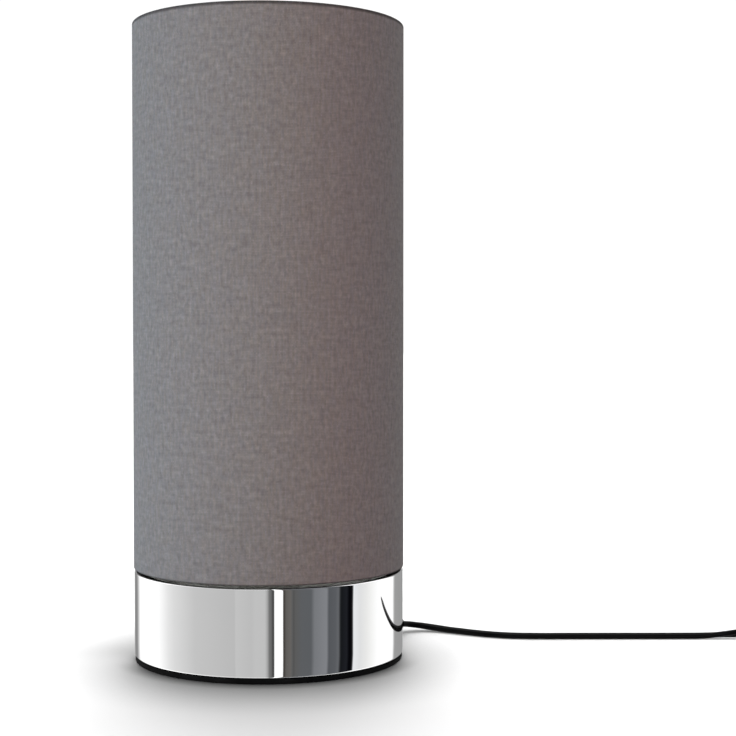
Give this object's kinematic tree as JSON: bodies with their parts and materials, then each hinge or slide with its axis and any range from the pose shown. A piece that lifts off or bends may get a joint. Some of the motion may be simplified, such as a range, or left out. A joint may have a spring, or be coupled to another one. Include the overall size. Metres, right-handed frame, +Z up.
{
  "type": "touch table lamp",
  "caption": "Cylindrical table lamp: tall grey cloth drum shade on a polished metal base of the same width, with a black flex wound for storage.",
  "frame": {"origin": "centre of the round footprint on the table, on the lamp's axis", "axes": "+Z up along the lamp's axis; the front faces -Y; the flex leaves at the rear right and runs off along +X"},
  "size_m": [0.3806, 0.1633, 0.2802],
  "materials": {
    "shade_cloth": "woven linen-look cloth, grey",
    "white_liner": "satin white laminated drum",
    "chrome": "polished mirror chrome",
    "zinc_steel": "zinc plated",
    "cast_ballast": "rough cast, dark",
    "brass": "stamped, plain",
    "white_enamel": "white powder coat",
    "black_foot": "matt black foam rubber",
    "black_flex": "soft black PVC",
    "white_plastic": "moulded",
    "black_plastic": "moulded",
    "circuit_board": "solder mask, green",
    "component_body": "moulded",
    "film_capacitor": "moulded, yellow",
    "copper": "enamelled copper winding",
    "lead_insulation": "single core insulation",
    "ceramic": "unglazed ceramic",
    "opal_glass": "opal white glass",
    "nickel_cap": "nickel plated"
  },
  "bodies": {
    "base": {"base_shell": "chrome", "foot_pad": "black_foot", "bottom_plate": "zinc_steel", "ballast_ring": "cast_ballast", "plate_screw_1": "zinc_steel", "plate_screw_2": "zinc_steel", "plate_screw_3": "zinc_steel", "cord_relief": "black_flex", "cord_inner": "black_flex", "cord_clamp": "white_plastic", "clamp_screw": "zinc_steel", "dimmer_board": "circuit_board", "board_pillar_1": "white_plastic", "board_pillar_2": "white_plastic", "board_pillar_3": "white_plastic", "triac": "component_body", "mains_capacitor": "film_capacitor", "filter_choke": "copper", "touch_chip": "component_body", "terminal_block": "white_plastic", "nipple_tube": "zinc_steel", "nipple_nut": "zinc_steel", "lock_washer": "zinc_steel", "touch_lug": "brass", "touch_wire": "lead_insulation", "live_lead": "lead_insulation", "neutral_lead": "lead_insulation", "holder_body": "white_plastic", "holder_skirt": "white_plastic", "holder_core": "ceramic", "screw_shell": "brass", "centre_contact": "brass", "cord_run": "black_flex", "cord_coil": "black_flex", "cord_tail": "black_flex", "cord_tie_a": "black_plastic", "cord_tie_b": "black_plastic", "plug_body": "black_plastic", "plug_pin_l": "nickel_cap", "plug_pin_r": "nickel_cap"},
    "shade": {"shade_cloth": "shade_cloth", "shade_liner": "white_liner", "top_ring": "white_enamel", "bottom_ring": "white_enamel", "spider_spoke_1": "white_enamel", "spider_spoke_2": "white_enamel", "spider_spoke_3": "white_enamel", "carrier_ring": "white_enamel"},
    "shade_nut": {"shade_nut": "white_plastic"},
    "bulb": {"bulb_tip": "nickel_cap", "bulb_insulator": "black_plastic", "bulb_cap": "nickel_cap", "bulb_glass": "opal_glass", "led_stem": "ceramic"}
  },
  "joints": [
    {"name": "shade_lift", "type": "slide", "parent": "base", "child": "shade", "axis": [0, 0, 1], "range_m": [0, 0.12]},
    {"name": "shade_nut_turn", "type": "hinge", "parent": "shade", "child": "shade_nut", "pos_m": [0, 0, 0.062], "axis": [0, 0, 1], "range_deg": [0, 1080]},
    {"name": "bulb_lift", "type": "slide", "parent": "base", "child": "bulb", "axis": [0, 0, 1], "range_m": [0, 0.235]}
  ]
}
